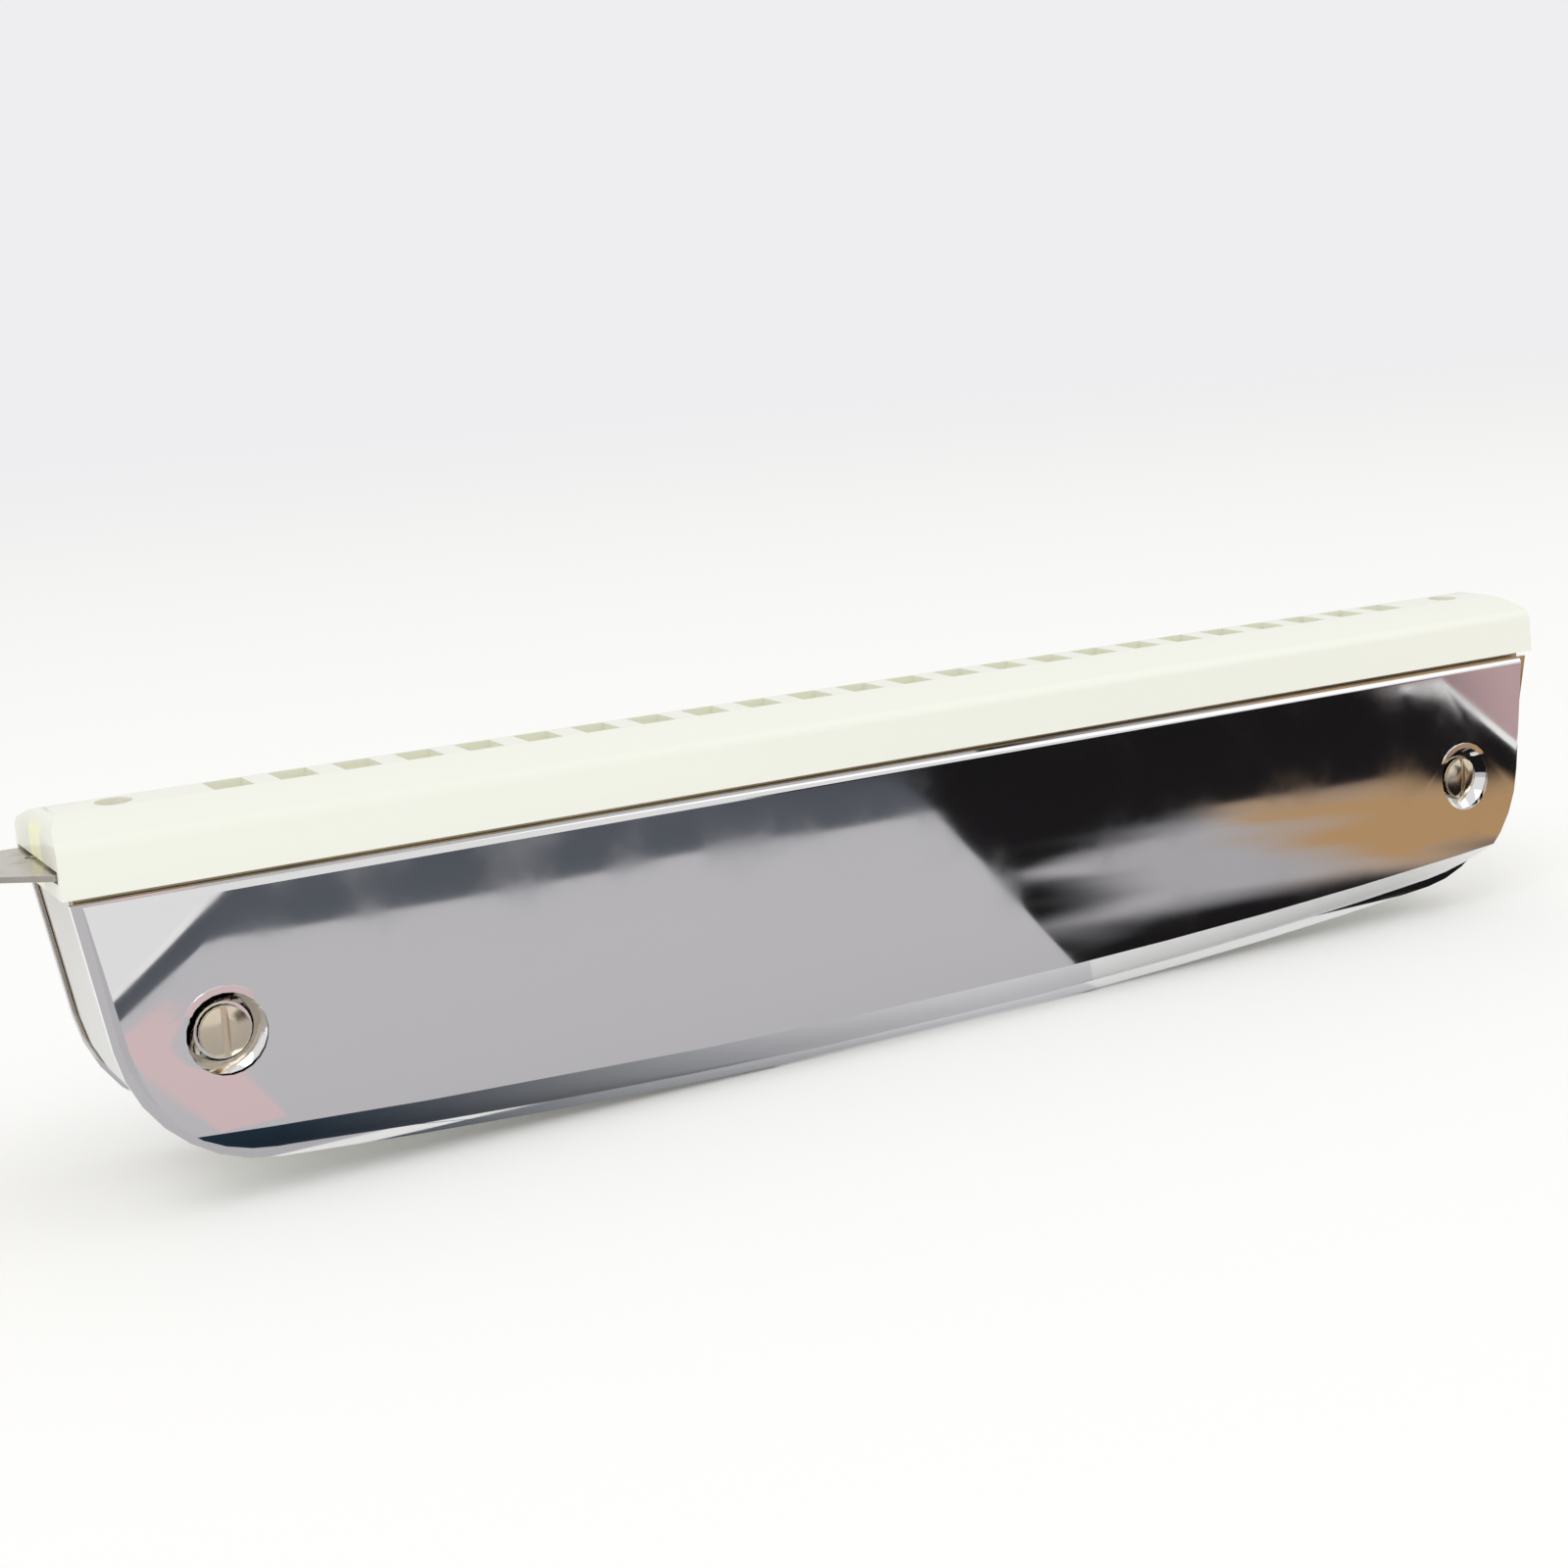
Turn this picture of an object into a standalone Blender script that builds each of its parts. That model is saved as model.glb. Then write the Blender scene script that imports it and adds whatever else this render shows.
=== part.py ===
"""Chromatic harmonica: 24 mouth holes in one row, a sprung slide, two chrome covers.

The instrument stands on its bowed back, mouthpiece up. X runs along it, the button is
at -X and the cover with the screw heads faces -Y. The parts are drawn about the middle
of the covers, in millimetres. place() moves them so that the origin lies under the
middle of the whole length, button included, and scales them to metres.
"""
import math

import bmesh
import bpy
from mathutils import Matrix, Vector

MM = 0.001

# Driving dimensions
HOLES = 24
PITCH = 6.4
HOLE_WIDTH = 3.8
HOLE_DEPTH = 4.1
MOUTH_BASE_Z = 30.9
MOUTH_HEIGHT = 6.7
MOUTH_DOME = 1.3
MOUTH_EDGE_RADIUS = 1.5
MOUTH_OVERHANG = 0.7
COVER_HALF_LENGTH = 91.1
SIDE_TAPER = 0.165
CORNER_RADIUS = 15.8
BOW_RADIUS = 905.0
CREASE_RADIUS = 1120.0
CREASE_Z = 4.6
CREASE_BULGE = 2.8
FACE_RISE = 0.4
SHOULDER = 1.0
FLANGE_WIDTH = 1.0
COVER_WALL = 0.7
COMB_HALF = 5.4
COMB_SET_BACK = 2.0
PLATE = 1.0
PLATE_SET_BACK = 5.0
CHAMBER_WEB = 1.6
SCREW_X = 78.8
SCREW_Z = 16.5
DISH_RADIUS = 3.85
DISH_DEPTH = 1.3
BOLT_HEAD_RADIUS = 2.45
BOLT_HEAD = 0.9
BOLT_RADIUS = 1.2
MOUTH_SCREW_X = 84.4
MOUTH_SCREW_RADIUS = 0.9
SLIDE_SIDE_WALL = 1.2
SLIDE_THICKNESS = 0.6
SLIDE_TRAVEL = 3.2
GUIDE_THICKNESS = 0.6
BACK_PLATE_THICKNESS = 1.4
BUTTON_STAND_OFF = 7.6
BUTTON_LENGTH = 7.5
BUTTON_HALF_WIDTH = 6.2
BUTTON_HALF_HEIGHT = 3.4
SPRING_WIRE = 0.35
SPRING_FIXED_X = -76.6
SPRING_FREE_X = -82.2
SPRING_HOOK_Y = 4.4
LONG_CHAMBER = 21.5
SHORT_CHAMBER = 13.5
REED_WIDTH = 2.0
REED_THICKNESS = 0.25
REED_ROOT = 1.8
REED_PAD = 1.9
REED_END_ROOM = 3.4
PLATE_SCREW_STEP = 10
PLATE_SCREW_RADIUS = 0.6
PLATE_SCREW_HEAD_RADIUS = 1.2

# Clearances
GAP = 0.3
OVERCUT = 2.0

# Worked out from the sizes above
CROWN_Z = MOUTH_BASE_Z + MOUTH_HEIGHT
MOUTH_HALF_LENGTH = COVER_HALF_LENGTH + MOUTH_OVERHANG
COMB_TOP = MOUTH_BASE_Z - GAP
COVER_TOP = COMB_TOP - GAP
BACK_PLATE_TOP = MOUTH_BASE_Z + BACK_PLATE_THICKNESS
SLIDE_BASE = BACK_PLATE_TOP + GAP
SLIDE_TOP = SLIDE_BASE + SLIDE_THICKNESS
GUIDE_BASE = SLIDE_TOP + GAP
GUIDE_TOP = GUIDE_BASE + GUIDE_THICKNESS
CHANNEL_TOP = GUIDE_TOP + GAP
CHANNEL_END = MOUTH_HALF_LENGTH - 1.6
STACK_END = CHANNEL_END - GAP
SLIDE_END = STACK_END - SLIDE_TRAVEL - 1.0
PLATE_IN = COMB_HALF + GAP
PLATE_OUT = PLATE_IN + PLATE
FLANGE_IN = PLATE_OUT + GAP
FLANGE_OUT = FLANGE_IN + COVER_WALL
FACE_TOP_Y = FLANGE_OUT + FACE_RISE
MOUTH_HALF_WIDTH = FACE_TOP_Y
SLIDE_HALF_WIDTH = MOUTH_HALF_WIDTH - SLIDE_SIDE_WALL
CHANNEL_HALF = SLIDE_HALF_WIDTH + GAP
CREASE_Y = FLANGE_OUT + CREASE_BULGE
WINDOW = SLIDE_TRAVEL - 0.4
ROW_OUT = HOLE_DEPTH / 2
ROW_IN = 0.5 * CHAMBER_WEB / 2
PLATE_SCREW_SPACING = PLATE_SCREW_STEP * PITCH
SCREW_FACE_Y = CREASE_Y + (FACE_TOP_Y - CREASE_Y) * (SCREW_Z - CREASE_Z) / (COVER_TOP - CREASE_Z)
DISH_FLOOR_Y = SCREW_FACE_Y - DISH_DEPTH

COLOURS = {
    "cream": ((0.86, 0.87, 0.76), 0.35, 0.0),
    "white": ((0.80, 0.80, 0.76), 0.45, 0.0),
    "chrome": ((0.82, 0.82, 0.83), 0.06, 1.0),
    "brass": ((0.75, 0.58, 0.32), 0.3, 1.0),
    "steel": ((0.60, 0.58, 0.55), 0.3, 1.0),
    "nickel": ((0.80, 0.74, 0.66), 0.2, 1.0),
    "rubber": ((0.20, 0.19, 0.18), 0.9, 0.0),
}


def collection(name):
    group = bpy.data.collections.new(name)
    bpy.context.scene.collection.children.link(group)
    return group


def finish(name):
    """The Principled material of one finish, made the first time it is asked for."""
    if name in bpy.data.materials:
        return bpy.data.materials[name]
    colour, rough, metal = COLOURS[name]
    mat = bpy.data.materials.new(name)
    mat.use_nodes = True
    shader = mat.node_tree.nodes["Principled BSDF"]
    shader.inputs["Base Color"].default_value = (*colour, 1.0)
    shader.inputs["Roughness"].default_value = rough
    shader.inputs["Metallic"].default_value = metal
    return mat


def place(name, bm, group, finish_name=None, pivot=(0, 0, 0)):
    """Turn a bmesh drawn in millimetres into a named object in metres."""
    bmesh.ops.translate(bm, vec=[-c for c in pivot], verts=bm.verts)
    bmesh.ops.scale(bm, vec=(MM, MM, MM), verts=bm.verts)
    bmesh.ops.recalc_face_normals(bm, faces=bm.faces)
    mesh = bpy.data.meshes.new(name)
    bm.to_mesh(mesh)
    bm.free()
    obj = bpy.data.objects.new(name, mesh)
    obj.location = [(c - o) * MM for c, o in zip(pivot, ORIGIN)]
    group.objects.link(obj)
    if finish_name:
        mesh.materials.append(finish(finish_name))
    return obj


def cutter(name, bm):
    obj = place(name, bm, CUTTERS)
    obj.hide_render = True
    obj.display_type = "WIRE"
    return obj


def combine(obj, other, operation):
    mod = obj.modifiers.new(other.name, "BOOLEAN")
    mod.operation = operation
    mod.solver = "EXACT"
    mod.object = other


def add_box(bm, low, high):
    size = [b - a for a, b in zip(low, high)]
    middle = [(a + b) / 2 for a, b in zip(low, high)]
    matrix = Matrix.Translation(middle) @ Matrix.Diagonal((*size, 1.0))
    bmesh.ops.create_cube(bm, size=1.0, matrix=matrix)


def add_prism(bm, points, vector):
    """A closed prism from a flat loop of points."""
    face = bm.faces.new([bm.verts.new(p) for p in points])
    moved = bmesh.ops.extrude_face_region(bm, geom=[face])
    top = [v for v in moved["geom"] if isinstance(v, bmesh.types.BMVert)]
    bmesh.ops.translate(bm, vec=vector, verts=top)


def add_turned(bm, centre, axis, profile, segments=20):
    """A solid of revolution: profile is (radius, height) pairs that start and end at radius 0."""
    turn = Vector((0, 0, 1)).rotation_difference(Vector(axis)).to_matrix().to_4x4()
    matrix = Matrix.Translation(centre) @ turn
    verts = [bm.verts.new((r, 0, h)) for r, h in profile]
    edges = [bm.edges.new(pair) for pair in zip(verts, verts[1:])]
    spun = bmesh.ops.spin(bm, geom=verts + edges, cent=(0, 0, 0), axis=(0, 0, 1), dvec=(0, 0, 0),
                          angle=2 * math.pi, steps=segments, use_merge=True)
    found = set(verts)
    todo = list(verts)
    while todo:
        for edge in todo.pop().link_edges:
            for vert in edge.verts:
                if vert not in found:
                    found.add(vert)
                    todo.append(vert)
    bmesh.ops.transform(bm, matrix=matrix, verts=list(found))
    bmesh.ops.remove_doubles(bm, verts=list(found), dist=0.0001)
    return spun


def add_bar(bm, centre, axis, radius, length, segments=16):
    add_turned(bm, centre, axis, [(0, 0), (radius, 0), (radius, length), (0, length)], segments)


def arc(centre, radius, start, end, steps):
    """Points on an arc, angles in radians."""
    turns = [start + (end - start) * i / steps for i in range(steps + 1)]
    return [(centre[0] + radius * math.cos(a), centre[1] + radius * math.sin(a)) for a in turns]


def bow(x):
    """How far the back rises above its lowest line at x."""
    return BOW_RADIUS - math.sqrt(BOW_RADIUS * BOW_RADIUS - x * x)


def half_outline(inset=0.0, top=COVER_TOP, bow_steps=5, floor=0.0):
    """Right half of the outline in XZ: top corner, side, corner arc, then the bowed back.

    The bow's middle stretch is flat, so that the back has a true face to stand on.
    """
    lean = math.hypot(1.0, SIDE_TAPER)
    normal = (1.0 / lean, -SIDE_TAPER / lean)
    along = (SIDE_TAPER / lean, 1.0 / lean)
    base = (COVER_HALF_LENGTH - normal[0] * CORNER_RADIUS, COVER_TOP - normal[1] * CORNER_RADIUS)
    to_bow = (base[0], base[1] - BOW_RADIUS)
    dot = to_bow[0] * along[0] + to_bow[1] * along[1]
    reach = to_bow[0] ** 2 + to_bow[1] ** 2 - (BOW_RADIUS - CORNER_RADIUS) ** 2
    step = -dot - math.sqrt(dot * dot - reach)
    centre = (base[0] + step * along[0], base[1] + step * along[1])
    start = math.atan2(normal[1], normal[0])
    end = math.atan2(centre[1] - BOW_RADIUS, centre[0])
    radius = CORNER_RADIUS - inset
    corner = arc(centre, radius, start, end, 7)
    points = [(COVER_HALF_LENGTH - inset * lean - (COVER_TOP - top) * SIDE_TAPER, top)] + corner
    last_x = corner[-1][0]
    for i in range(1, bow_steps + 1):
        x = last_x * (1 - i / (bow_steps + 0.5))
        points.append((x, bow(x) + inset))
    points = [(x, max(z, bow(points[-1][0]) + inset + floor)) for x, z in points]
    return points


def outline(**options):
    right = half_outline(**options)
    return right + [(-x, z) for x, z in reversed(right)]


def add_outline_prism(bm, y0, y1, **options):
    add_prism(bm, [(x, y0, z) for x, z in outline(**options)], (0, y1 - y0, 0))


def hole_x(k):
    return (k - (HOLES - 1) / 2) * PITCH


def chamber_length(k):
    """Long at the +X end, where the low reeds are, and short at the button."""
    return SHORT_CHAMBER + (LONG_CHAMBER - SHORT_CHAMBER) * k / (HOLES - 1)


def make_mouthpiece():
    """Moulded bar with a domed top, 24 square mouths and a channel for the slide."""
    side_top = CROWN_Z - MOUTH_DOME
    side = MOUTH_HALF_WIDTH - 0.4
    section = [(MOUTH_HALF_WIDTH, MOUTH_BASE_Z)]
    section += arc((side - MOUTH_EDGE_RADIUS, side_top - MOUTH_EDGE_RADIUS),
                   MOUTH_EDGE_RADIUS, 0.1, 1.35, 4)
    section += [(side * 0.55, CROWN_Z - MOUTH_DOME * 0.3), (side * 0.3, CROWN_Z)]
    section += [(-y, z) for y, z in reversed(section)]
    bm = bmesh.new()
    start = -MOUTH_HALF_LENGTH
    add_prism(bm, [(start, y, z) for y, z in section], (2 * MOUTH_HALF_LENGTH, 0, 0))
    body = place("mouthpiece", bm, PARTS, "cream")

    top = CROWN_Z + OVERCUT
    wide = MOUTH_HALF_WIDTH + OVERCUT
    bm = bmesh.new()
    for sign in (-1, 1):
        end = sign * MOUTH_HALF_LENGTH
        round_end = arc((end - sign * 2.0, side_top - 0.7), 2.0, 0.0, 1.4, 5)
        slope = [(end + (x - end) if sign > 0 else 2 * (end + 2.0) - x, z) for x, z in round_end]
        slope += [(slope[-1][0], top), (end + sign * OVERCUT, top), (end + sign * OVERCUT, slope[0][1])]
        add_prism(bm, [(x, -wide, z) for x, z in slope], (0, 2 * wide, 0))
    combine(body, cutter("mouthpiece_end_rounding", bm), "DIFFERENCE")

    bm = bmesh.new()
    add_box(bm, (-CHANNEL_END, -CHANNEL_HALF, MOUTH_BASE_Z - OVERCUT),
            (CHANNEL_END, CHANNEL_HALF, CHANNEL_TOP))
    combine(body, cutter("mouthpiece_channel", bm), "DIFFERENCE")

    bm = bmesh.new()
    add_box(bm, (-MOUTH_HALF_LENGTH - OVERCUT, -CHANNEL_HALF - 0.1, SLIDE_BASE - GAP),
            (-CHANNEL_END + 0.5, CHANNEL_HALF + 0.1, SLIDE_TOP + GAP))
    combine(body, cutter("blade_slot", bm), "DIFFERENCE")

    bm = bmesh.new()
    for k in range(HOLES):
        x = hole_x(k)
        add_box(bm, (x - HOLE_WIDTH / 2, -HOLE_DEPTH / 2, CHANNEL_TOP - 1.0),
                (x + HOLE_WIDTH / 2, HOLE_DEPTH / 2, top))
    combine(body, cutter("mouth_holes", bm), "DIFFERENCE")

    bm = bmesh.new()
    seat = CROWN_Z - 1.6
    bore = MOUTH_SCREW_RADIUS + GAP
    for sign in (-1, 1):
        add_turned(bm, (sign * MOUTH_SCREW_X, 0, 0), (0, 0, 1),
                   [(0, CHANNEL_TOP - 1.0), (bore, CHANNEL_TOP - 1.0), (bore, seat),
                    (1.75, seat), (1.75, top), (0, top)], 16)
    combine(body, cutter("mouthpiece_screw_holes", bm), "DIFFERENCE")


def make_mouthpiece_screws():
    """Two small countersunk screws that hold mouthpiece and slide stack to the comb."""
    seat = CROWN_Z - 1.6 + GAP
    for side, sign in (("button_end", -1), ("far_end", 1)):
        bm = bmesh.new()
        add_turned(bm, (sign * MOUTH_SCREW_X, 0, 0), (0, 0, 1),
                   [(0, COMB_TOP - 6.0), (MOUTH_SCREW_RADIUS, COMB_TOP - 6.0),
                    (MOUTH_SCREW_RADIUS, seat), (1.45, seat), (1.45, seat + 0.6),
                    (0, seat + 0.8)], 16)
        screw = place("mouthpiece_screw_" + side, bm, PARTS, "nickel",
                      pivot=(sign * MOUTH_SCREW_X, 0, seat))
        bm = bmesh.new()
        add_box(bm, (sign * MOUTH_SCREW_X - 0.2, -2, seat + 0.35),
                (sign * MOUTH_SCREW_X + 0.2, 2, seat + 2))
        combine(screw, cutter("mouthpiece_screw_slot_" + side, bm), "DIFFERENCE")


def window_cutter(name, low, high, rows):
    """Windows under the mouth holes: rows is (shift along X, y from, y to) for each row."""
    bm = bmesh.new()
    for k in range(HOLES):
        for shift, y0, y1 in rows:
            x = hole_x(k) + shift
            add_box(bm, (x - WINDOW / 2, y0, low), (x + WINDOW / 2, y1, high))
    return cutter(name, bm)


def screw_clearance(name, low, high, slot=0.0):
    """Holes, or slots as long as the slide's travel, for the two mouthpiece screws."""
    radius = MOUTH_SCREW_RADIUS + GAP
    bm = bmesh.new()
    for sign in (-1, 1):
        x = sign * MOUTH_SCREW_X
        half = arc((x, 0), radius, -math.pi / 2, math.pi / 2, 6)
        other = arc((x - slot, 0), radius, math.pi / 2, 1.5 * math.pi, 6)
        if slot == 0.0:
            other = other[1:-1]
        add_prism(bm, [(a, b, low) for a, b in half + other], (0, 0, high - low))
    return cutter(name, bm)


def make_slide_stack():
    """Back plate, perforated slide and front guide plate, all thin plated steel."""
    rows = [(0, -ROW_OUT, -ROW_IN), (0, ROW_IN, ROW_OUT)]
    for name, low, high in (("slide_back_plate", MOUTH_BASE_Z, BACK_PLATE_TOP),
                            ("slide_guide_plate", GUIDE_BASE, GUIDE_TOP)):
        bm = bmesh.new()
        add_box(bm, (-STACK_END, -SLIDE_HALF_WIDTH, low), (STACK_END, SLIDE_HALF_WIDTH, high))
        plate = place(name, bm, PARTS, "steel")
        combine(plate, window_cutter(name + "_windows", low - 1, high + 1, rows), "DIFFERENCE")
        combine(plate, screw_clearance(name + "_holes", low - 1, high + 1), "DIFFERENCE")
        if name == "slide_back_plate":
            bm = bmesh.new()
            add_box(bm, (SPRING_FREE_X - 0.7, -5.6, low - 1), (SPRING_FIXED_X + 0.7, 5.6, high + 1))
            combine(plate, cutter("spring_pocket", bm), "DIFFERENCE")


def make_slide():
    """The blade: at rest the -Y windows are open, pressed by its travel the +Y ones are."""
    out = MOUTH_HALF_LENGTH
    tip = out + BUTTON_STAND_OFF + 2.0
    neck = 3.6
    points = [(SLIDE_END, -SLIDE_HALF_WIDTH), (SLIDE_END, SLIDE_HALF_WIDTH),
              (-out - 2.2, SLIDE_HALF_WIDTH), (-out - 4.8, neck), (-tip, neck),
              (-tip, -neck), (-out - 4.8, -neck), (-out - 0.3, -SLIDE_HALF_WIDTH)]
    bm = bmesh.new()
    add_prism(bm, [(x, y, SLIDE_BASE) for x, y in points], (0, 0, SLIDE_THICKNESS))
    slide = place("slide", bm, PARTS, "steel", pivot=(0, 0, SLIDE_BASE))
    rows = [(0, -ROW_OUT, -ROW_IN), (-SLIDE_TRAVEL, ROW_IN, ROW_OUT)]
    low, high = SLIDE_BASE - 1, SLIDE_TOP + 1
    combine(slide, window_cutter("slide_windows", low, high, rows), "DIFFERENCE")
    combine(slide, screw_clearance("slide_slots", low, high, SLIDE_TRAVEL), "DIFFERENCE")
    bore = MOUTH_SCREW_RADIUS + GAP
    bm = bmesh.new()
    add_box(bm, (MOUTH_SCREW_X, -bore, low), (SLIDE_END + 1, bore, high))
    combine(slide, cutter("slide_fork", bm), "DIFFERENCE")
    bm = bmesh.new()
    add_bar(bm, (-out - 0.1, 1.9, low), (0, 0, 1), 0.55, high - low, 10)
    add_bar(bm, (SPRING_FREE_X, SPRING_HOOK_Y + 0.1, low), (0, 0, 1), SPRING_WIRE + GAP,
            high - low, 10)
    combine(slide, cutter("spring_eyes", bm), "DIFFERENCE")


def make_button():
    """Rounded push button riveted on the blade's neck."""
    x = -(MOUTH_HALF_LENGTH + BUTTON_STAND_OFF)
    z = (SLIDE_BASE + SLIDE_TOP) / 2
    bm = bmesh.new()
    add_box(bm, (x - BUTTON_LENGTH, -BUTTON_HALF_WIDTH, z - BUTTON_HALF_HEIGHT),
            (x, BUTTON_HALF_WIDTH, z + BUTTON_HALF_HEIGHT))
    button = place("slide_button", bm, PARTS, "nickel", pivot=(x, 0, z))
    edge = button.modifiers.new("rounded_edges", "BEVEL")
    edge.width = 1.8 * MM
    edge.segments = 3
    bm = bmesh.new()
    add_box(bm, (x - 2.0 - GAP, -3.6 - GAP, SLIDE_BASE - GAP), (x + 1, 3.6 + GAP, SLIDE_TOP + GAP))
    combine(button, cutter("button_slot", bm), "DIFFERENCE")


def make_spring():
    """Hairpin spring of round wire in the back plate's pocket. Its free leg hooks the slide."""
    z = MOUTH_BASE_Z + SPRING_WIRE + GAP
    fixed, free, end = SPRING_FIXED_X, SPRING_FREE_X, SPRING_HOOK_Y
    points = [(fixed, end, z), (fixed - 0.4, -2.6, z), (fixed - 1.5, -4.2, z),
              (fixed / 2 + free / 2, -4.7, z), (free + 1.5, -4.2, z), (free + 0.4, -2.6, z),
              (free, end, z), (free, end + 0.1, (SLIDE_BASE + SLIDE_TOP) / 2)]
    curve = bpy.data.curves.new("return_spring", "CURVE")
    curve.dimensions = "3D"
    curve.bevel_depth = SPRING_WIRE * MM
    curve.bevel_resolution = 1
    curve.use_fill_caps = True
    line = curve.splines.new("POLY")
    line.points.add(len(points) - 1)
    for point, (x, y, z) in zip(line.points, points):
        point.co = (x * MM, y * MM, z * MM, 1)
    spring = bpy.data.objects.new("return_spring", curve)
    spring.location = [-o * MM for o in ORIGIN]
    curve.materials.append(finish("steel"))
    PARTS.objects.link(spring)


def make_bumper():
    """Soft stop at the far end of the slide's channel."""
    bm = bmesh.new()
    low = (SLIDE_END + SLIDE_TRAVEL + GAP, -4.0, BACK_PLATE_TOP + GAP)
    add_box(bm, low, (STACK_END, 4.0, SLIDE_TOP))
    place("slide_bumper", bm, PARTS, "rubber", pivot=low)


def make_comb():
    """White moulded comb with two rows of graded chambers, one cut into each face."""
    bm = bmesh.new()
    add_outline_prism(bm, -COMB_HALF, COMB_HALF, inset=0.4, top=COMB_TOP, floor=COMB_SET_BACK)
    comb = place("comb", bm, PARTS, "white")
    for side, sign in (("near", -1), ("far", 1)):
        bm = bmesh.new()
        for k in range(HOLES):
            x = hole_x(k)
            ys = sorted((sign * CHAMBER_WEB / 2, sign * (COMB_HALF + OVERCUT)))
            add_box(bm, (x - HOLE_WIDTH / 2, ys[0], COMB_TOP - chamber_length(k)),
                    (x + HOLE_WIDTH / 2, ys[1], COMB_TOP + OVERCUT))
        combine(comb, cutter("comb_chambers_" + side, bm), "DIFFERENCE")
    bm = bmesh.new()
    for sign in (-1, 1):
        add_bar(bm, (sign * MOUTH_SCREW_X, 0, COMB_TOP - 7.0), (0, 0, 1),
                MOUTH_SCREW_RADIUS + GAP, 9.0, 12)
        add_bar(bm, (sign * SCREW_X, -COMB_HALF - 1, SCREW_Z), (0, 1, 0),
                BOLT_RADIUS + GAP, 2 * COMB_HALF + 2, 12)
    for x in plate_screw_places():
        z = plate_screw_height(x)
        for sign in (-1, 1):
            add_bar(bm, (x, sign * (COMB_HALF + 1), z), (0, -sign, 0),
                    PLATE_SCREW_RADIUS + GAP, 4.2, 10)
    combine(comb, cutter("comb_screw_holes", bm), "DIFFERENCE")


def plate_screw_places():
    return [-PLATE_SCREW_SPACING, 0.0, PLATE_SCREW_SPACING]


def plate_screw_height(x):
    return bow(x) + PLATE_SET_BACK + 2.2


def add_reed(bm, k, y, out):
    """One reed and its rivet: a tongue that stands just clear of its slot."""
    x = hole_x(k)
    length = chamber_length(k) - REED_END_ROOM
    root = COMB_TOP - REED_ROOT
    tip = root - length
    base = y - out * 0.15
    lift = y + out * 0.3
    top = lift + out * REED_THICKNESS
    pad = root - REED_PAD
    shape = [(root, base), (pad, base), (pad, lift), (tip, lift), (tip, top), (root, top)]
    add_prism(bm, [(x - REED_WIDTH / 2, b, a) for a, b in shape], (REED_WIDTH, 0, 0))
    return x, root - REED_PAD / 2, top


def make_reed_plates():
    """Two brass plates with 24 graded slots each and a riveted reed over every slot."""
    for name, sign in (("reed_plate_top", -1), ("reed_plate_bottom", 1)):
        bm = bmesh.new()
        add_outline_prism(bm, sign * PLATE_IN, sign * PLATE_OUT, inset=0.5, top=COMB_TOP,
                          floor=PLATE_SET_BACK)
        plate = place(name, bm, PARTS, "brass")
        y0, y1 = sorted((sign * (PLATE_IN - 0.1), sign * (PLATE_OUT + 0.1)))
        slots = bmesh.new()
        reeds = bmesh.new()
        rivets = bmesh.new()
        for k in range(HOLES):
            x = hole_x(k)
            half = REED_WIDTH / 2 + 0.05
            root = COMB_TOP - REED_ROOT - REED_PAD
            tip = COMB_TOP - REED_ROOT - (chamber_length(k) - REED_END_ROOM) - 0.1
            add_box(slots, (x - half, y0, tip), (x + half, y1, root))
            inside = k % 2
            face = sign * (PLATE_IN if inside else PLATE_OUT)
            out = -sign if inside else sign
            rx, rz, top = add_reed(reeds, k, face, out)
            add_bar(rivets, (rx, top - out * 0.1, rz), (0, out, 0), 0.6, 0.25, 8)
        for x in (-SCREW_X, SCREW_X):
            add_bar(slots, (x, y0, SCREW_Z), (0, 1, 0), BOLT_RADIUS + GAP, y1 - y0, 12)
        for x in plate_screw_places():
            add_bar(slots, (x, y0, plate_screw_height(x)), (0, 1, 0),
                    PLATE_SCREW_RADIUS + GAP, y1 - y0, 10)
        combine(plate, cutter(name + "_slots", slots), "DIFFERENCE")
        combine(plate, cutter(name + "_reeds", reeds), "UNION")
        combine(plate, cutter(name + "_rivets", rivets), "UNION")


def make_plate_screws():
    """Three cheese-head screws hold each reed plate to the comb."""
    for side, sign in (("top", -1), ("bottom", 1)):
        for number, x in enumerate(plate_screw_places(), 1):
            z = plate_screw_height(x)
            under = PLATE_OUT + GAP
            bm = bmesh.new()
            add_turned(bm, (x, 0, z), (0, sign, 0),
                       [(0, COMB_HALF - 2.6), (PLATE_SCREW_RADIUS, COMB_HALF - 2.6),
                        (PLATE_SCREW_RADIUS, under), (PLATE_SCREW_HEAD_RADIUS, under),
                        (PLATE_SCREW_HEAD_RADIUS, under + 0.5), (0, under + 0.6)], 12)
            place("plate_screw_%s_%d" % (side, number), bm, PARTS, "nickel", pivot=(x, 0, z))


def cover_section(x, shrink=0.0):
    """Section of the raised part at x, as (distance from the middle plane, z) pairs."""
    low = bow(x)
    crease_z = CREASE_Z + low * BOW_RADIUS / CREASE_RADIUS
    top = COVER_TOP - shrink
    crease = (CREASE_Y - shrink, crease_z + 0.45 * shrink)
    toe = low + FLANGE_WIDTH + 0.9 * shrink
    shoulder = arc((FACE_TOP_Y - shrink - SHOULDER, top - SHOULDER), SHOULDER,
                   math.pi / 2, 0.11, 4)
    slope = (crease[0] - FLANGE_OUT) / (crease[1] - toe)
    under = FLANGE_IN - OVERCUT - 1.0
    if shrink:
        return [(under, top)] + shoulder + [crease, (FLANGE_OUT, toe), (under, toe)]
    base = toe + (FLANGE_IN - FLANGE_OUT) / slope
    return [(FLANGE_IN, top)] + shoulder + [crease, (FLANGE_IN, base)]


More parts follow.
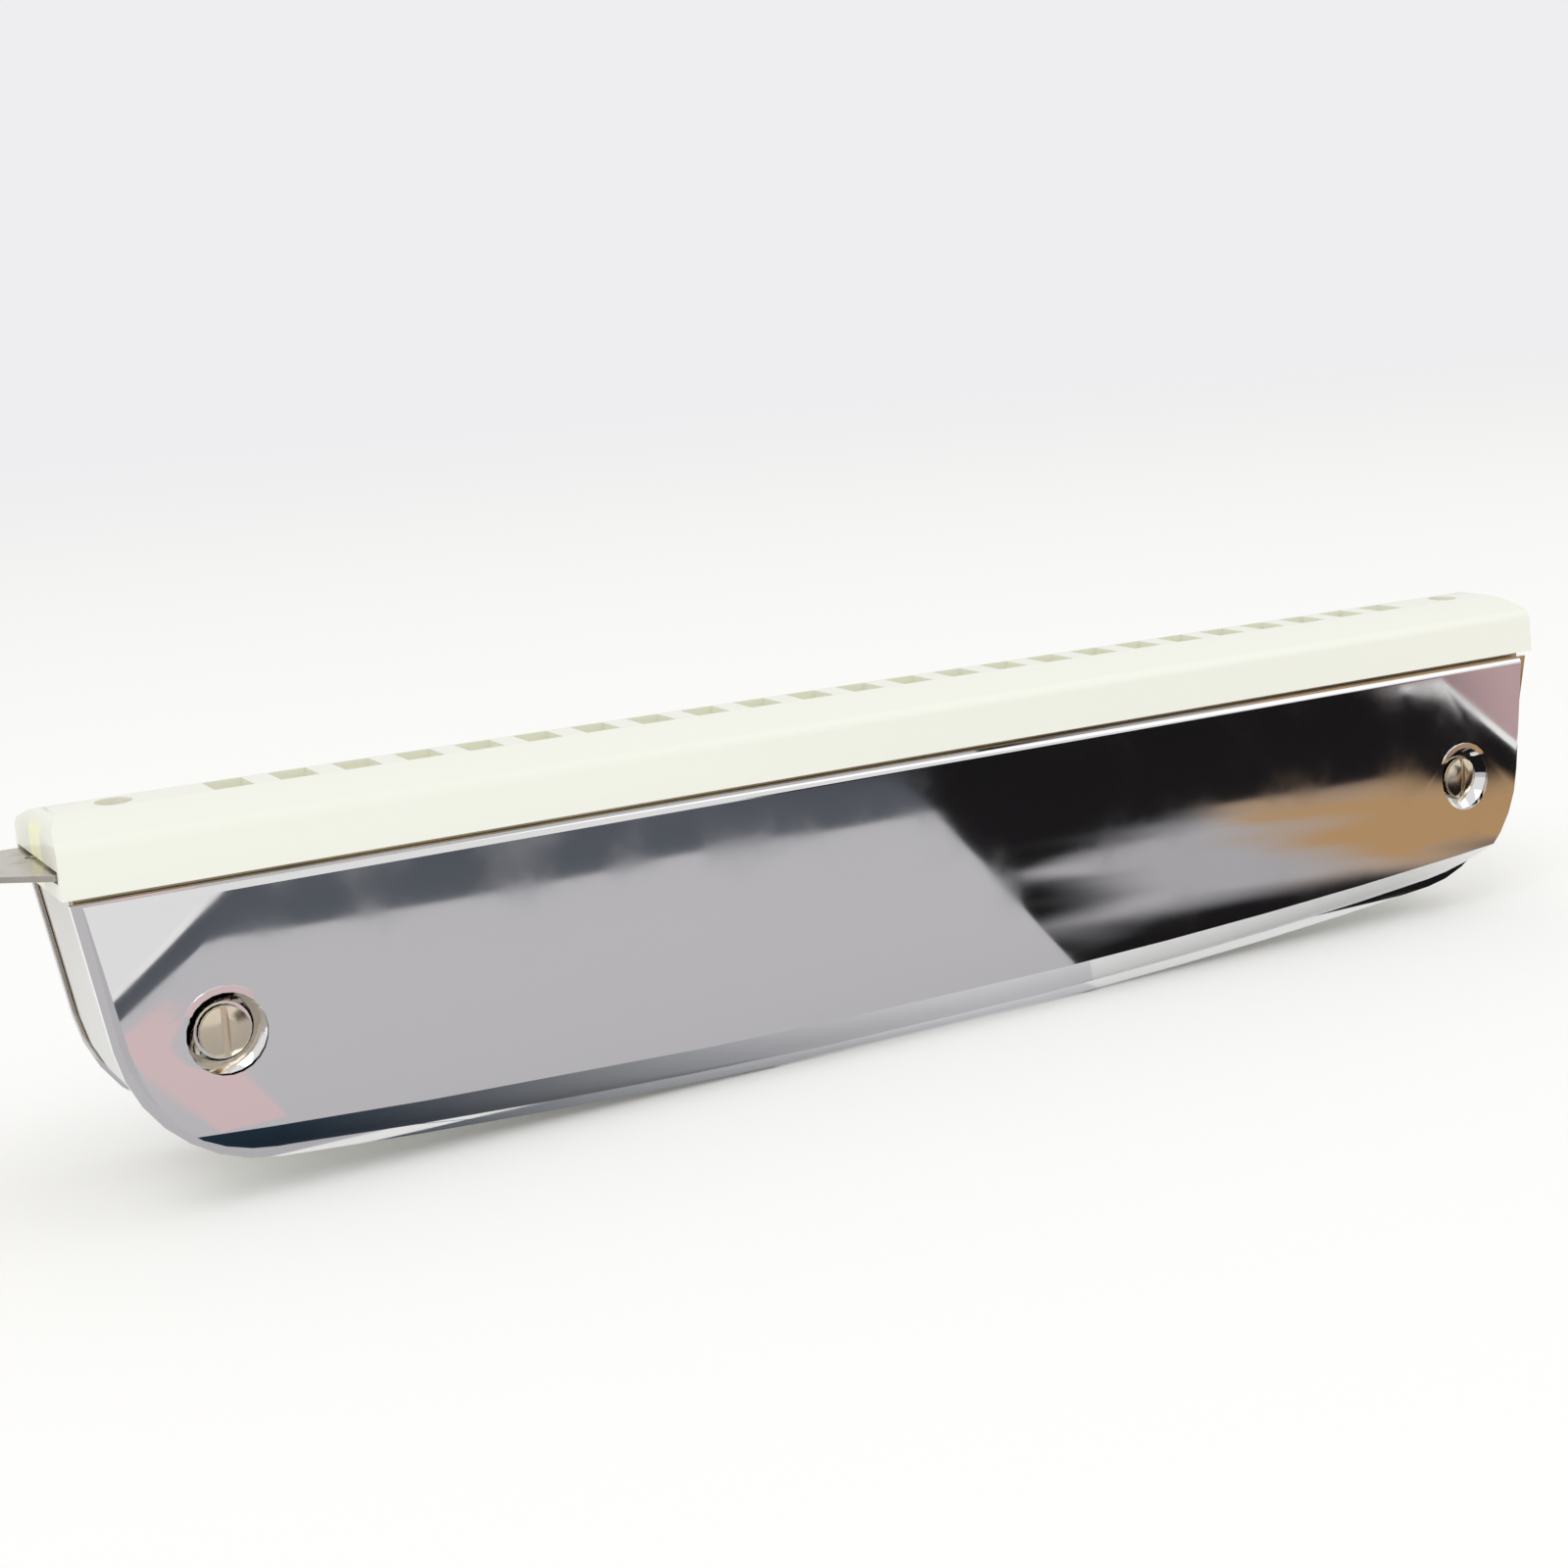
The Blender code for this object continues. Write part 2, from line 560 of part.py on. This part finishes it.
def add_cover_loft(bm, sign, shrink):
    """Sections joined end to end along X into one closed solid, longer than the cover."""
    stations = [COVER_HALF_LENGTH + 2.0] + [COVER_HALF_LENGTH * i / 6 for i in (5, 4, 3, 2, 1)]
    stations += [-x for x in reversed(stations)]
    rings = []
    for x in stations:
        rings.append([bm.verts.new((x, sign * y, z)) for y, z in cover_section(x, shrink)])
    for a, b in zip(rings, rings[1:]):
        for i in range(len(a)):
            j = (i + 1) % len(a)
            bm.faces.new((a[i], a[j], b[j], b[i]))
    bm.faces.new(rings[0])
    bm.faces.new(list(reversed(rings[-1])))


def make_covers():
    """Pressed chrome covers: a raised face inside a narrow flat flange, open at the back."""
    for name, sign in (("cover_top", -1), ("cover_bottom", 1)):
        bm = bmesh.new()
        add_cover_loft(bm, sign, 0.0)
        cover = place(name, bm, PARTS, "chrome")
        bm = bmesh.new()
        add_outline_prism(bm, sign * (FLANGE_IN - 1), sign * (CREASE_Y + 2), inset=FLANGE_WIDTH,
                          top=COVER_TOP + 1)
        combine(cover, cutter(name + "_end_walls", bm), "INTERSECT")
        bm = bmesh.new()
        add_outline_prism(bm, sign * FLANGE_IN, sign * FLANGE_OUT)
        combine(cover, cutter(name + "_flange", bm), "UNION")
        bm = bmesh.new()
        add_cover_loft(bm, sign, COVER_WALL)
        hollow = cutter(name + "_hollow", bm)
        bm = bmesh.new()
        add_outline_prism(bm, sign * (FLANGE_IN - 2), sign * (CREASE_Y + 2),
                          inset=FLANGE_WIDTH + COVER_WALL, top=COVER_TOP + 1)
        combine(hollow, cutter(name + "_hollow_ends", bm), "INTERSECT")
        combine(cover, hollow, "DIFFERENCE")

        posts = bmesh.new()
        dishes = bmesh.new()
        for x in (-SCREW_X, SCREW_X):
            add_turned(posts, (x, 0, SCREW_Z), (0, sign, 0),
                       [(0, FLANGE_IN), (DISH_RADIUS + 0.6, FLANGE_IN),
                        (DISH_RADIUS + 0.6, SCREW_FACE_Y - 0.15), (0, SCREW_FACE_Y - 0.15)], 24)
            top = SCREW_FACE_Y + 0.6
            add_turned(dishes, (x, 0, SCREW_Z), (0, sign, 0),
                       [(0, FLANGE_IN - 1), (BOLT_RADIUS + GAP, FLANGE_IN - 1),
                        (BOLT_RADIUS + GAP, DISH_FLOOR_Y), (BOLT_HEAD_RADIUS + GAP, DISH_FLOOR_Y),
                        (DISH_RADIUS - 0.5, DISH_FLOOR_Y + 0.5), (DISH_RADIUS, SCREW_FACE_Y - 0.1),
                        (DISH_RADIUS, top), (0, top)], 24)
        combine(cover, cutter(name + "_screw_posts", posts), "UNION")
        combine(cover, cutter(name + "_screw_dishes", dishes), "DIFFERENCE")


def make_cover_bolts():
    """Slotted bolts through both covers and the comb, each into a slotted sleeve nut."""
    seat = DISH_FLOOR_Y + GAP
    head = seat + BOLT_HEAD
    reach = FLANGE_IN + 0.2
    for end, x in (("button_end", -SCREW_X), ("far_end", SCREW_X)):
        bolt = bmesh.new()
        add_turned(bolt, (x, 0, SCREW_Z), (0, -1, 0),
                   [(0, -reach), (BOLT_RADIUS, -reach), (BOLT_RADIUS, seat),
                    (BOLT_HEAD_RADIUS, seat), (BOLT_HEAD_RADIUS, head - 0.4),
                    (BOLT_HEAD_RADIUS * 0.6, head - 0.06), (0, head)], 20)
        nut = bmesh.new()
        add_turned(nut, (x, 0, SCREW_Z), (0, 1, 0),
                   [(0, reach + GAP), (BOLT_RADIUS, reach + GAP), (BOLT_RADIUS, seat),
                    (BOLT_HEAD_RADIUS, seat), (BOLT_HEAD_RADIUS, head - 0.4),
                    (BOLT_HEAD_RADIUS * 0.6, head - 0.06), (0, head)], 20)
        for name, bm, sign in (("cover_bolt_", bolt, -1), ("cover_nut_", nut, 1)):
            piece = place(name + end, bm, PARTS, "nickel", pivot=(x, 0, SCREW_Z))
            slot = bmesh.new()
            y0, y1 = sorted((sign * (head - 0.5), sign * (head + 1)))
            add_box(slot, (x - 0.3, y0, SCREW_Z - 3), (x + 0.3, y1, SCREW_Z + 3))
            combine(piece, cutter(name + end + "_slot", slot), "DIFFERENCE")


for old in list(bpy.data.objects):
    bpy.data.objects.remove(old, do_unlink=True)
ORIGIN = (-(BUTTON_STAND_OFF + BUTTON_LENGTH) / 2, 0.0, half_outline()[-1][1])
PARTS = collection("chromatic_harmonica")
CUTTERS = collection("cutters")
make_comb()
make_reed_plates()
make_plate_screws()
make_slide_stack()
make_slide()
make_spring()
make_bumper()
make_button()
make_mouthpiece()
make_mouthpiece_screws()
make_covers()
make_cover_bolts()
for part in PARTS.objects:
    if part.type == "MESH":
        part.data.shade_smooth()
        part.data.set_sharp_from_angle(angle=math.radians(30))
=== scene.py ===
"""Looks of the chromatic harmonica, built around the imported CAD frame. Metres, +Z up."""
import math

import bmesh
import bpy
from mathutils import Matrix, Vector


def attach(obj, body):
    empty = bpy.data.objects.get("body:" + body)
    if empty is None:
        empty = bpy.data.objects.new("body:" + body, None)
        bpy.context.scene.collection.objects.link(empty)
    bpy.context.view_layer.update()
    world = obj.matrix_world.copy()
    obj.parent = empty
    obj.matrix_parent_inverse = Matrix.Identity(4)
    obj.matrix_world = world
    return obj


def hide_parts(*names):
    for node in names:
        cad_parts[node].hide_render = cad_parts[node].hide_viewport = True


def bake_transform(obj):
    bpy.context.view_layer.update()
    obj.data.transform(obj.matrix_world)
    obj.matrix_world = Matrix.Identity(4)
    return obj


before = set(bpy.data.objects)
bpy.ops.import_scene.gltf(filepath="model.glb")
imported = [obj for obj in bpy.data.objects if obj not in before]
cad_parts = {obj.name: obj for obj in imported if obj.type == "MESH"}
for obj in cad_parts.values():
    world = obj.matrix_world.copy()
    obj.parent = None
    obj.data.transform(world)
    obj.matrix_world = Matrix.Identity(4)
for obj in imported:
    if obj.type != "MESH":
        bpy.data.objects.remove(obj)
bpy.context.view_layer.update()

MM = 0.001

# Lengths in millimetres, angles in degrees
HOLE_HALF = 2.12        # half the depth of a mouth hole and a little more
HOLE_GLOW_HEIGHTS = (37.1, 36.2)   # heights between which a hole gets its painted yellow light and painted glow
SOFT_EDGE = 0.12        # rounding of edges, unless a piece asks for another
MERGE = 0.002           # vertices closer than this are one
FLAT = 0.5              # faces that turn less than this become one
SHARP = 50              # edges that turn more than this stay hard in the shading
BLACK = (0.012, 0.011, 0.012)
GREY, WARM, PINK = (0.45, 0.44, 0.46), (0.50, 0.31, 0.15), (0.60, 0.42, 0.43)
BACKDROP = (0.855, 0.847, 0.871)


class Field:
    """A shader value. Its operators add the math nodes that the sums need."""

    def __init__(self, tree, socket):
        self.tree = tree
        self.socket = socket

    def calc(self, operation, *others):
        node = self.tree.nodes.new("ShaderNodeMath")
        node.operation = operation
        for slot, value in zip(node.inputs, (self,) + others):
            if isinstance(value, Field):
                self.tree.links.new(value.socket, slot)
            else:
                slot.default_value = value
        return Field(self.tree, node.outputs[0])

    def __add__(self, other):
        return self.calc("ADD", other)

    def __sub__(self, other):
        return self.calc("SUBTRACT", other)

    def __mul__(self, other):
        return self.calc("MULTIPLY", other)

    def step(self, low, high):
        """0 below low, 1 above high, and smooth between them."""
        node = self.tree.nodes.new("ShaderNodeMapRange")
        node.interpolation_type = "SMOOTHSTEP"
        self.tree.links.new(self.socket, node.inputs["Value"])
        node.inputs["From Min"].default_value = low
        node.inputs["From Max"].default_value = high
        return Field(self.tree, node.outputs["Result"])


class Surface:
    """One procedural material. Textures are measured in millimetres of the frame."""

    def __init__(self, name, colour, rough, metal=0.0, coat=0.0):
        self.mat = bpy.data.materials.new(name)
        self.mat.use_nodes = True
        self.tree = self.mat.node_tree
        self.shader = self.tree.nodes["Principled BSDF"]
        self.shader.inputs["Base Color"].default_value = (*colour, 1.0)
        self.shader.inputs["Roughness"].default_value = rough
        self.shader.inputs["Metallic"].default_value = metal
        self.shader.inputs["Coat Weight"].default_value = coat
        coords = self.tree.nodes.new("ShaderNodeTexCoord")
        scale = self.tree.nodes.new("ShaderNodeVectorMath")
        scale.operation = "SCALE"
        scale.inputs["Scale"].default_value = 1 / MM
        self.tree.links.new(coords.outputs["Object"], scale.inputs[0])
        self.point = scale.outputs[0]
        split = self.tree.nodes.new("ShaderNodeSeparateXYZ")
        self.tree.links.new(self.point, split.inputs[0])
        self.x, self.y, self.z = (Field(self.tree, out) for out in split.outputs)

    def noise(self, size, detail=2.0, stretch=(1, 1, 1)):
        """Noise whose grains are about size millimetres wide, longer where stretch is."""
        scale = self.tree.nodes.new("ShaderNodeVectorMath")
        scale.operation = "MULTIPLY"
        self.tree.links.new(self.point, scale.inputs[0])
        scale.inputs[1].default_value = [1 / (size * s) for s in stretch]
        node = self.tree.nodes.new("ShaderNodeTexNoise")
        node.inputs["Scale"].default_value = 1.0
        node.inputs["Detail"].default_value = detail
        self.tree.links.new(scale.outputs[0], node.inputs["Vector"])
        return Field(self.tree, node.outputs["Fac"])

    def tint(self, factor, colour, name="Base Color"):
        """Mix colour over the base colour, or another colour input, where factor is high."""
        node = self.tree.nodes.new("ShaderNodeMix")
        node.data_type = "RGBA"
        base = self.shader.inputs[name]
        colours = {socket.identifier: socket for socket in node.inputs}
        if base.links:
            self.tree.links.new(base.links[0].from_socket, colours["A_Color"])
        else:
            colours["A_Color"].default_value = base.default_value[:]
        colours["B_Color"].default_value = (*colour, 1.0)
        self.tree.links.new(factor.socket, colours["Factor_Float"])
        result = {socket.identifier: socket for socket in node.outputs}["Result_Color"]
        self.tree.links.new(result, base)

    def drive(self, name, field):
        """Let a field set one of the shader's values."""
        self.tree.links.new(field.socket, self.shader.inputs[name])

    def bump(self, field, height):
        """Relief of the given height in millimetres."""
        node = self.tree.nodes.new("ShaderNodeBump")
        node.inputs["Distance"].default_value = height * MM
        self.tree.links.new(field.socket, node.inputs["Height"])
        self.tree.links.new(node.outputs["Normal"], self.shader.inputs["Normal"])


def dress(name, surface):
    """Keep a CAD node as it is and give it a material."""
    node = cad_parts[name]
    if not node.material_slots:
        node.data.materials.append(None)
    for slot in node.material_slots:
        slot.link = "OBJECT"
        slot.material = surface.mat


def refine(name, body, surface, edge=SOFT_EDGE, angle=28):
    """A copy of a CAD node with merged seams and slightly rounded edges, which replaces it.

    It rides on body. Without one, the caller says how it moves.
    """
    mesh = bpy.data.meshes.new(name + "_soft_edges")
    bm = bmesh.new()
    bm.from_mesh(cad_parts[name].data)
    bmesh.ops.remove_doubles(bm, verts=bm.verts, dist=MERGE * MM)
    bmesh.ops.dissolve_limit(bm, angle_limit=math.radians(FLAT), verts=bm.verts,
                             edges=bm.edges)
    hard = [e for e in bm.edges
            if len(e.link_faces) == 2 and e.calc_face_angle(0) > math.radians(angle)]
    bmesh.ops.bevel(bm, geom=hard, offset=edge * MM, segments=2, profile=0.5,
                    affect="EDGES", clamp_overlap=True)
    bmesh.ops.recalc_face_normals(bm, faces=bm.faces)
    bm.to_mesh(mesh)
    bm.free()
    mesh.materials.append(surface.mat)
    mesh.shade_smooth()
    mesh.set_sharp_from_angle(angle=math.radians(SHARP))
    piece = bpy.data.objects.new(name + "_soft_edges", mesh)
    bpy.context.scene.collection.objects.link(piece)
    even = piece.modifiers.new("even_shading", "WEIGHTED_NORMAL")
    even.keep_sharp = True
    if body:
        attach(piece, body)
    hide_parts(name)
    return piece


def card(name, corners, colour, glow=0.0, glossy_only=True):
    """A flat sheet of the stage. Most are seen only in reflections."""
    mesh = bpy.data.meshes.new(name)
    mesh.from_pydata([[c * MM for c in p] for p in corners], [], [range(len(corners))])
    obj = bpy.data.objects.new(name, mesh)
    bpy.context.scene.collection.objects.link(obj)
    sheet = Surface(name, colour, 0.9)
    sheet.shader.inputs["Specular IOR Level"].default_value = 0.0
    sheet.shader.inputs["Emission Color"].default_value = (*colour, 1.0)
    sheet.shader.inputs["Emission Strength"].default_value = glow
    mesh.materials.append(sheet.mat)
    if glossy_only:
        obj.visible_camera = False
        obj.visible_diffuse = False
        obj.visible_shadow = False
        obj.visible_transmission = False
    return sheet


# Finishes, in the order of assembly. Colours are linear. The chrome's slight unevenness
# and smears are what a hand leaves on a plated cover.
white = Surface("comb_plastic", (0.78, 0.78, 0.76), 0.42)
white.bump(white.noise(1.2), 0.01)
brass = Surface("reed_plate_brass", (0.52, 0.42, 0.27), 0.34, metal=1.0)
brass.tint(brass.noise(5.0, 4.0, (3, 1, 1)).step(0.45, 0.75), (0.36, 0.30, 0.20))
brass.drive("Roughness", brass.noise(2.0, 4.0, (8, 1, 1)) * 0.2 + 0.24)
steel = Surface("slide_steel", (0.60, 0.57, 0.52), 0.26, metal=1.0)
steel.tint(steel.noise(3.0, 4.0).step(0.52, 0.8), (0.42, 0.34, 0.24))
steel.drive("Roughness", steel.noise(0.8, 3.0, (12, 1, 1)) * 0.2 + 0.16)
nickel = Surface("fastener_nickel", (0.78, 0.69, 0.54), 0.2, metal=1.0)
nickel.drive("Roughness", nickel.noise(0.6, 3.0) * 0.2 + 0.1)
rubber = Surface("bumper_rubber", (0.05, 0.048, 0.045), 0.85)
rubber.bump(rubber.noise(0.4), 0.02)
cream = Surface("mouthpiece_plastic", (0.94, 0.95, 0.86), 0.28, coat=0.2)
cream.shader.inputs["Emission Strength"].default_value = 1.0
cream.shader.inputs["Emission Color"].default_value = (0, 0, 0, 1)
# Painted light: down each hole the plastic is tinted yellower and given a faint glow, standing in
# for light through the translucent moulding.
across_hole = cream.y.calc("ABSOLUTE").step(HOLE_HALF, HOLE_HALF - 0.1)
painted_hole_glow = across_hole * cream.z.step(*HOLE_GLOW_HEIGHTS)
cream.tint(painted_hole_glow, (0.74, 0.74, 0.50))
cream.tint(painted_hole_glow, (0.22, 0.22, 0.13), "Emission Color")
cream.bump(cream.noise(6.0, 1.0), 0.02)
chrome = Surface("cover_chrome", (0.86, 0.86, 0.87), 0.05, metal=1.0)
chrome.drive("Roughness", chrome.noise(9.0, 4.0).step(0.4, 0.75) * 0.05 + 0.035)
chrome.bump(chrome.noise(22.0, 1.0), 0.03)

# Comb, reed plates and their screws: kept from the CAD. Little of them shows, only the
# comb's end and the brass strip along the covers' upper edge.
dress("comb", white)
for side in ("top", "bottom"):
    dress("reed_plate_" + side, brass)
    for number in (1, 2, 3):
        dress("plate_screw_%s_%d" % (side, number), nickel)

# Slide stack: back plate, guide plate, spring and bumper are inside the mouthpiece. The
# spring stays fixed where it is; the slide, whose end stands out at the left, rides on its own
# body.
for name in ("slide_back_plate", "slide_guide_plate"):
    dress(name, steel)
spring = refine("return_spring", None, steel, edge=0.02, angle=60)
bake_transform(spring)
dress("slide_bumper", rubber)
refine("slide", "slide_and_button", steel, edge=0.08)
dress("slide_button", nickel)

# Mouthpiece: a cream moulding with painted yellow light and a painted glow down its holes,
# rounded hole edges and its two screws in their dimples.
refine("mouthpiece", "instrument", cream, edge=0.22)
for side in ("button_end", "far_end"):
    dress("mouthpiece_screw_" + side, nickel)

# Covers: plated sheet with softly rounded folds, so that every crease catches a thin
# line of light, and slotted bolts in their dishes.
for side in ("top", "bottom"):
    refine("cover_" + side, "instrument", chrome, edge=0.16, angle=24)
for side in ("button_end", "far_end"):
    for kind in ("cover_bolt_", "cover_nut_"):
        refine(kind + side, "instrument", nickel, edge=0.05)

# Stage: a white floor that fades into the pale room, and sheets that only reflections
# see: black with a grey and a warm patch at the right, grey at the left with a dark band
# behind it, blue-black under the lower bevel, and pink at both ends.
FAR = 9000
floor = card("floor", [(-FAR, -FAR, 0), (FAR, -FAR, 0), (FAR, FAR, 0), (-FAR, FAR, 0)],
             (0.93, 0.93, 0.93), glow=1.0, glossy_only=False)
floor.shader.inputs["Emission Color"].default_value = (0.11, 0.11, 0.10, 1)
distance = floor.y.step(150, 1500)
floor.tint(distance, (0, 0, 0))
floor.tint(distance, BACKDROP, "Emission Color")
dark = card("dark_right",
            [(30, -14, 0.3), (240, -14, 0.3), (900, -900, 0.3), (560, -900, 0.3)], BLACK)
wobble = dark.noise(60, 1) * 90 - 45
across = dark.x + dark.y * 0.72 + wobble
deep = dark.y + wobble
light = deep.step(-45, -75) * deep.step(-230, -160)
dark.tint(light * across.step(5, 40) * across.step(150, 90), GREY)
dark.tint(light * across.step(55, 90) * across.step(170, 120), WARM)
card("grey_floor", [(-500, -16, 0.1), (60, -16, 0.1), (620, -900, 0.1), (-600, -900, 0.1)],
     (0.56, 0.55, 0.57))
card("dark_far_left",
     [(-120, -420, 0.2), (480, -420, 0.2), (900, -1500, 0.2), (-400, -1500, 0.2)],
     (0.10, 0.11, 0.13))
far = card("dark_right_far",
           [(480, -900, 0), (1100, -700, 0), (1100, -700, 260), (480, -900, 260)], BLACK)
far.tint(far.x.step(800, 900), PINK)
under = card("blue_under_bevel", [(-92, -14, 0.2), (30, -12, 0.2), (30, -2, 0.2), (-92, -2, 0.2)],
             (0.025, 0.045, 0.07))
under.tint(under.x.step(-70, 20), (0.90, 0.90, 0.92))
card("pink_band", [(-60, -60, 0.5), (-52, -60, 0.5), (-14, -260, 0.5), (-34, -260, 0.5)],
     (0.72, 0.55, 0.56))

# Light: a large soft lamp above and to the left, a weaker one at the right, and an even
# room. The camera sees the room in one pale tone, whatever the lamps do.
world = bpy.data.worlds.new("room")
bpy.context.scene.world = world
world.use_nodes = True
tree = world.node_tree
tree.nodes.clear()
room = tree.nodes.new("ShaderNodeBackground")
room.inputs["Color"].default_value = (1.0, 0.995, 0.985, 1)
room.inputs["Strength"].default_value = 0.82
seen = tree.nodes.new("ShaderNodeBackground")
seen.inputs["Color"].default_value = (*BACKDROP, 1)
path = tree.nodes.new("ShaderNodeLightPath")
mix = tree.nodes.new("ShaderNodeMixShader")
out = tree.nodes.new("ShaderNodeOutputWorld")
tree.links.new(path.outputs["Is Camera Ray"], mix.inputs[0])
tree.links.new(room.outputs[0], mix.inputs[1])
tree.links.new(seen.outputs[0], mix.inputs[2])
tree.links.new(mix.outputs[0], out.inputs[0])
for name, place, size, power in (("key", (-0.35, -0.30, 0.75), 0.5, 1.0),
                                 ("fill", (0.60, -0.25, 0.60), 0.6, 0.4)):
    data = bpy.data.lights.new(name, "AREA")
    data.size = size
    data.energy = power
    lamp = bpy.data.objects.new(name, data)
    lamp.location = place
    lamp.rotation_euler = (-Vector(place)).to_track_quat("-Z", "Y").to_euler()
    bpy.context.scene.collection.objects.link(lamp)

# Camera: the one fitted to the mouth holes, seams and screws of the photograph.
YAW, PITCH, ROLL = 0.525, 0.209, -0.052
EYE = (-129.55, -213.7, 80.72)
LENS, SENSOR = 54.0, 36.0
ahead = Vector((math.sin(YAW) * math.cos(PITCH), math.cos(YAW) * math.cos(PITCH),
                -math.sin(PITCH)))
right = Vector((math.cos(YAW), -math.sin(YAW), 0))
up = right.cross(ahead)
axis_x = math.cos(ROLL) * right + math.sin(ROLL) * up
axis_y = -math.sin(ROLL) * right + math.cos(ROLL) * up
eye = bpy.data.cameras.new("camera")
eye.lens = LENS
eye.sensor_width = SENSOR
eye.clip_start = 0.01
camera = bpy.data.objects.new("camera", eye)
turn = Matrix((axis_x, axis_y, -ahead)).transposed().to_4x4()
camera.matrix_world = Matrix.Translation(Vector(EYE) * MM) @ turn
bpy.context.scene.collection.objects.link(camera)
bpy.context.scene.camera = camera
bpy.context.scene.view_settings.view_transform = "Standard"
